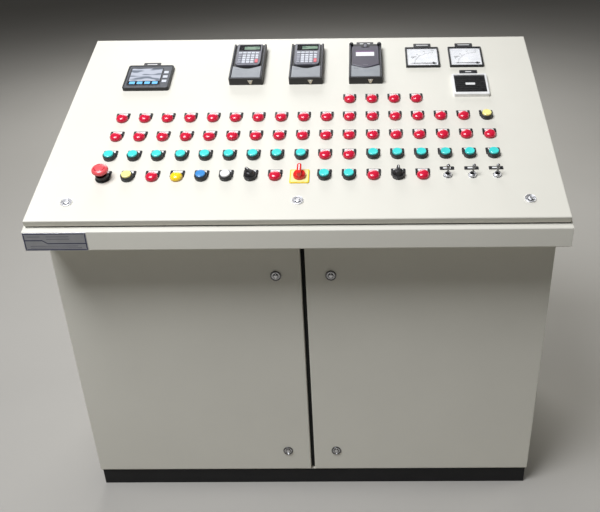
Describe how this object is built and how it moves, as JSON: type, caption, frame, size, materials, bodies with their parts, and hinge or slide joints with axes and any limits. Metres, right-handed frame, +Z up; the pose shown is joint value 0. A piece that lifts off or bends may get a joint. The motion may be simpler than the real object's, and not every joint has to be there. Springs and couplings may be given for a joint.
{
  "type": "operator control desk",
  "caption": "Floor-standing sheet-steel operator desk for variable frequency drives: sloping hinged lid with lamps, buttons, keypads and meters over a two-door cabinet.",
  "frame": {"origin": "on the floor, under the middle of the whole desk", "axes": "+X to the operator's right, +Y to the rear, +Z up"},
  "size_m": [1.28, 0.7367, 1.1818],
  "materials": {
    "sheet_paint": "fine powder coat",
    "plinth_paint": "black powder coat",
    "zinc_plate": "zinc plated",
    "drive_case": "moulded, fine texture",
    "gasket": "closed-cell foam",
    "black_plastic": "moulded",
    "dark_plastic": "moulded",
    "keypad_black": "moulded, fine texture",
    "white_plastic": "gloss",
    "red_lens": "translucent lens",
    "yellow_lens": "translucent lens",
    "teal_cap": "gloss",
    "pale_cap": "translucent",
    "blue_cap": "gloss",
    "white_cap": "gloss",
    "stop_red": "gloss",
    "chrome": "polished",
    "needle_black": "black lacquer"
  },
  "bodies": {
    "cabinet": {"plinth": "plinth_paint", "floor_pan": "sheet_paint", "left_side": "sheet_paint", "right_side": "sheet_paint", "rear_panel": "sheet_paint", "door_frame": "sheet_paint", "console_tray": "sheet_paint", "mounting_plate": "zinc_plate", "drive_units": "drive_case", "hinge_pins": "zinc_plate"},
    "lid": {"lid_panel": "sheet_paint", "lid_seal": "gasket", "device_bodies": "black_plastic", "legend_plates": "black_plastic", "red_lamps": "red_lens", "yellow_lamp": "yellow_lens", "hmi_panel": "dark_plastic", "keypad_bezels": "keypad_black", "meter_cases": "black_plastic", "hooter": "white_plastic"},
    "left_door": {"left_door": "sheet_paint"},
    "right_door": {"right_door": "sheet_paint"},
    "left_door_lock_low": {"left_door_lock_low": "chrome"},
    "left_door_lock_high": {"left_door_lock_high": "chrome"},
    "right_door_lock_low": {"right_door_lock_low": "chrome"},
    "right_door_lock_high": {"right_door_lock_high": "chrome"},
    "lid_lock_left": {"lid_lock_left": "chrome"},
    "lid_lock_middle": {"lid_lock_middle": "chrome"},
    "lid_lock_right": {"lid_lock_right": "chrome"},
    "pale_button_01": {"pale_button_01": "pale_cap"},
    "blue_button_01": {"blue_button_01": "blue_cap"},
    "white_button_01": {"white_button_01": "white_cap"},
    "teal_button_01": {"teal_button_01": "teal_cap"},
    "teal_button_02": {"teal_button_02": "teal_cap"},
    "teal_button_03": {"teal_button_03": "teal_cap"},
    "teal_button_04": {"teal_button_04": "teal_cap"},
    "teal_button_05": {"teal_button_05": "teal_cap"},
    "teal_button_06": {"teal_button_06": "teal_cap"},
    "teal_button_07": {"teal_button_07": "teal_cap"},
    "teal_button_08": {"teal_button_08": "teal_cap"},
    "teal_button_09": {"teal_button_09": "teal_cap"},
    "teal_button_10": {"teal_button_10": "teal_cap"},
    "teal_button_11": {"teal_button_11": "teal_cap"},
    "teal_button_12": {"teal_button_12": "teal_cap"},
    "teal_button_13": {"teal_button_13": "teal_cap"},
    "teal_button_14": {"teal_button_14": "teal_cap"},
    "teal_button_15": {"teal_button_15": "teal_cap"},
    "teal_button_16": {"teal_button_16": "teal_cap"},
    "teal_button_17": {"teal_button_17": "teal_cap"},
    "pale_button_02": {"pale_button_02": "pale_cap"},
    "stop_stem": {"stop_stem": "black_plastic"},
    "stop_head": {"stop_head": "stop_red"},
    "selector_handle_1": {"selector_handle_1": "black_plastic"},
    "selector_handle_2": {"selector_handle_2": "black_plastic"},
    "cam_switch_knob": {"cam_switch_knob": "stop_red"},
    "toggle_lever_1": {"toggle_lever_1": "chrome"},
    "toggle_lever_2": {"toggle_lever_2": "chrome"},
    "toggle_lever_3": {"toggle_lever_3": "chrome"},
    "meter_needle_left": {"meter_needle_left": "needle_black"},
    "meter_needle_right": {"meter_needle_right": "needle_black"}
  },
  "joints": [
    {"name": "lid_hinge", "type": "hinge", "parent": "cabinet", "child": "lid", "pos_m": [0, 0.36389, 1.16589], "axis": [-1, 0, 0], "range_deg": [0, 65]},
    {"name": "left_door_hinge", "type": "hinge", "parent": "cabinet", "child": "left_door", "pos_m": [-0.628, -0.2483, 0.45], "axis": [0, 0, -1], "range_deg": [0, 110]},
    {"name": "right_door_hinge", "type": "hinge", "parent": "cabinet", "child": "right_door", "pos_m": [0.628, -0.2483, 0.45], "axis": [0, 0, 1], "range_deg": [0, 110]},
    {"name": "left_door_lock_low_turn", "type": "hinge", "parent": "left_door", "child": "left_door_lock_low", "pos_m": [-0.0705, -0.2613, 0.129], "axis": [0, -1, 0], "range_deg": [0, 90]},
    {"name": "left_door_lock_high_turn", "type": "hinge", "parent": "left_door", "child": "left_door_lock_high", "pos_m": [-0.0705, -0.2613, 0.717], "axis": [0, -1, 0], "range_deg": [0, 90]},
    {"name": "right_door_lock_low_turn", "type": "hinge", "parent": "right_door", "child": "right_door_lock_low", "pos_m": [0.0705, -0.2613, 0.129], "axis": [0, 1, 0], "range_deg": [0, 90]},
    {"name": "right_door_lock_high_turn", "type": "hinge", "parent": "right_door", "child": "right_door_lock_high", "pos_m": [0.0705, -0.2613, 0.717], "axis": [0, 1, 0], "range_deg": [0, 90]},
    {"name": "lid_lock_left_turn", "type": "hinge", "parent": "lid", "child": "lid_lock_left", "pos_m": [-0.5475, -0.30313, 0.94307], "axis": [0, 0.342, -0.9397], "range_deg": [0, 90]},
    {"name": "lid_lock_middle_turn", "type": "hinge", "parent": "lid", "child": "lid_lock_middle", "pos_m": [0, -0.30313, 0.94307], "axis": [0, 0.342, -0.9397], "range_deg": [0, 90]},
    {"name": "lid_lock_right_turn", "type": "hinge", "parent": "lid", "child": "lid_lock_right", "pos_m": [0.5475, -0.30313, 0.94307], "axis": [0, 0.342, -0.9397], "range_deg": [0, 90]},
    {"name": "pale_button_01_press", "type": "slide", "parent": "lid", "child": "pale_button_01", "axis": [0, 0.342, -0.9397], "range_m": [0, 0.0045], "stiffness_N_per_m": 600, "springref_m": -0.001},
    {"name": "blue_button_01_press", "type": "slide", "parent": "lid", "child": "blue_button_01", "axis": [0, 0.342, -0.9397], "range_m": [0, 0.0045], "stiffness_N_per_m": 600, "springref_m": -0.001},
    {"name": "white_button_01_press", "type": "slide", "parent": "lid", "child": "white_button_01", "axis": [0, 0.342, -0.9397], "range_m": [0, 0.0045], "stiffness_N_per_m": 600, "springref_m": -0.001},
    {"name": "teal_button_01_press", "type": "slide", "parent": "lid", "child": "teal_button_01", "axis": [0, 0.342, -0.9397], "range_m": [0, 0.0045], "stiffness_N_per_m": 600, "springref_m": -0.001},
    {"name": "teal_button_02_press", "type": "slide", "parent": "lid", "child": "teal_button_02", "axis": [0, 0.342, -0.9397], "range_m": [0, 0.0045], "stiffness_N_per_m": 600, "springref_m": -0.001},
    {"name": "teal_button_03_press", "type": "slide", "parent": "lid", "child": "teal_button_03", "axis": [0, 0.342, -0.9397], "range_m": [0, 0.0045], "stiffness_N_per_m": 600, "springref_m": -0.001},
    {"name": "teal_button_04_press", "type": "slide", "parent": "lid", "child": "teal_button_04", "axis": [0, 0.342, -0.9397], "range_m": [0, 0.0045], "stiffness_N_per_m": 600, "springref_m": -0.001},
    {"name": "teal_button_05_press", "type": "slide", "parent": "lid", "child": "teal_button_05", "axis": [0, 0.342, -0.9397], "range_m": [0, 0.0045], "stiffness_N_per_m": 600, "springref_m": -0.001},
    {"name": "teal_button_06_press", "type": "slide", "parent": "lid", "child": "teal_button_06", "axis": [0, 0.342, -0.9397], "range_m": [0, 0.0045], "stiffness_N_per_m": 600, "springref_m": -0.001},
    {"name": "teal_button_07_press", "type": "slide", "parent": "lid", "child": "teal_button_07", "axis": [0, 0.342, -0.9397], "range_m": [0, 0.0045], "stiffness_N_per_m": 600, "springref_m": -0.001},
    {"name": "teal_button_08_press", "type": "slide", "parent": "lid", "child": "teal_button_08", "axis": [0, 0.342, -0.9397], "range_m": [0, 0.0045], "stiffness_N_per_m": 600, "springref_m": -0.001},
    {"name": "teal_button_09_press", "type": "slide", "parent": "lid", "child": "teal_button_09", "axis": [0, 0.342, -0.9397], "range_m": [0, 0.0045], "stiffness_N_per_m": 600, "springref_m": -0.001},
    {"name": "teal_button_10_press", "type": "slide", "parent": "lid", "child": "teal_button_10", "axis": [0, 0.342, -0.9397], "range_m": [0, 0.0045], "stiffness_N_per_m": 600, "springref_m": -0.001},
    {"name": "teal_button_11_press", "type": "slide", "parent": "lid", "child": "teal_button_11", "axis": [0, 0.342, -0.9397], "range_m": [0, 0.0045], "stiffness_N_per_m": 600, "springref_m": -0.001},
    {"name": "teal_button_12_press", "type": "slide", "parent": "lid", "child": "teal_button_12", "axis": [0, 0.342, -0.9397], "range_m": [0, 0.0045], "stiffness_N_per_m": 600, "springref_m": -0.001},
    {"name": "teal_button_13_press", "type": "slide", "parent": "lid", "child": "teal_button_13", "axis": [0, 0.342, -0.9397], "range_m": [0, 0.0045], "stiffness_N_per_m": 600, "springref_m": -0.001},
    {"name": "teal_button_14_press", "type": "slide", "parent": "lid", "child": "teal_button_14", "axis": [0, 0.342, -0.9397], "range_m": [0, 0.0045], "stiffness_N_per_m": 600, "springref_m": -0.001},
    {"name": "teal_button_15_press", "type": "slide", "parent": "lid", "child": "teal_button_15", "axis": [0, 0.342, -0.9397], "range_m": [0, 0.0045], "stiffness_N_per_m": 600, "springref_m": -0.001},
    {"name": "teal_button_16_press", "type": "slide", "parent": "lid", "child": "teal_button_16", "axis": [0, 0.342, -0.9397], "range_m": [0, 0.0045], "stiffness_N_per_m": 600, "springref_m": -0.001},
    {"name": "teal_button_17_press", "type": "slide", "parent": "lid", "child": "teal_button_17", "axis": [0, 0.342, -0.9397], "range_m": [0, 0.0045], "stiffness_N_per_m": 600, "springref_m": -0.001},
    {"name": "pale_button_02_press", "type": "slide", "parent": "lid", "child": "pale_button_02", "axis": [0, 0.342, -0.9397], "range_m": [0, 0.0045], "stiffness_N_per_m": 600, "springref_m": -0.001},
    {"name": "stop_press", "type": "slide", "parent": "lid", "child": "stop_stem", "axis": [0, 0.342, -0.9397], "range_m": [0, 0.006], "stiffness_N_per_m": 1500, "springref_m": -0.001},
    {"name": "stop_twist", "type": "hinge", "parent": "stop_stem", "child": "stop_head", "pos_m": [-0.48, -0.22419, 0.9718], "axis": [0, 0.342, -0.9397], "range_deg": [0, 45], "stiffness_Nm_per_rad": 0.05},
    {"name": "selector_1_turn", "type": "hinge", "parent": "lid", "child": "selector_handle_1", "pos_m": [-0.12, -0.22419, 0.9718], "axis": [0, 0.342, -0.9397], "range_deg": [0, 90]},
    {"name": "selector_2_turn", "type": "hinge", "parent": "lid", "child": "selector_handle_2", "pos_m": [0.24, -0.22419, 0.9718], "axis": [0, 0.342, -0.9397], "range_deg": [-45, 45]},
    {"name": "cam_switch_turn", "type": "hinge", "parent": "lid", "child": "cam_switch_knob", "pos_m": [0, -0.22419, 0.9718], "axis": [0, 0.342, -0.9397], "range_deg": [0, 90]},
    {"name": "toggle_1_tilt", "type": "hinge", "parent": "lid", "child": "toggle_lever_1", "pos_m": [0.36, -0.22624, 0.97744], "axis": [1, 0, 0], "range_deg": [0, 25]},
    {"name": "toggle_2_tilt", "type": "hinge", "parent": "lid", "child": "toggle_lever_2", "pos_m": [0.42, -0.22624, 0.97744], "axis": [1, 0, 0], "range_deg": [0, 25]},
    {"name": "toggle_3_tilt", "type": "hinge", "parent": "lid", "child": "toggle_lever_3", "pos_m": [0.48, -0.22624, 0.97744], "axis": [1, 0, 0], "range_deg": [0, 25]},
    {"name": "meter_needle_left_swing", "type": "hinge", "parent": "lid", "child": "meter_needle_left", "pos_m": [0.358, 0.22037, 1.13627], "axis": [0, 0.342, -0.9397], "range_deg": [0, 90], "stiffness_Nm_per_rad": 0.0005},
    {"name": "meter_needle_right_swing", "type": "hinge", "parent": "lid", "child": "meter_needle_right", "pos_m": [0.482, 0.22037, 1.13627], "axis": [0, 0.342, -0.9397], "range_deg": [0, 90], "stiffness_Nm_per_rad": 0.0005}
  ]
}
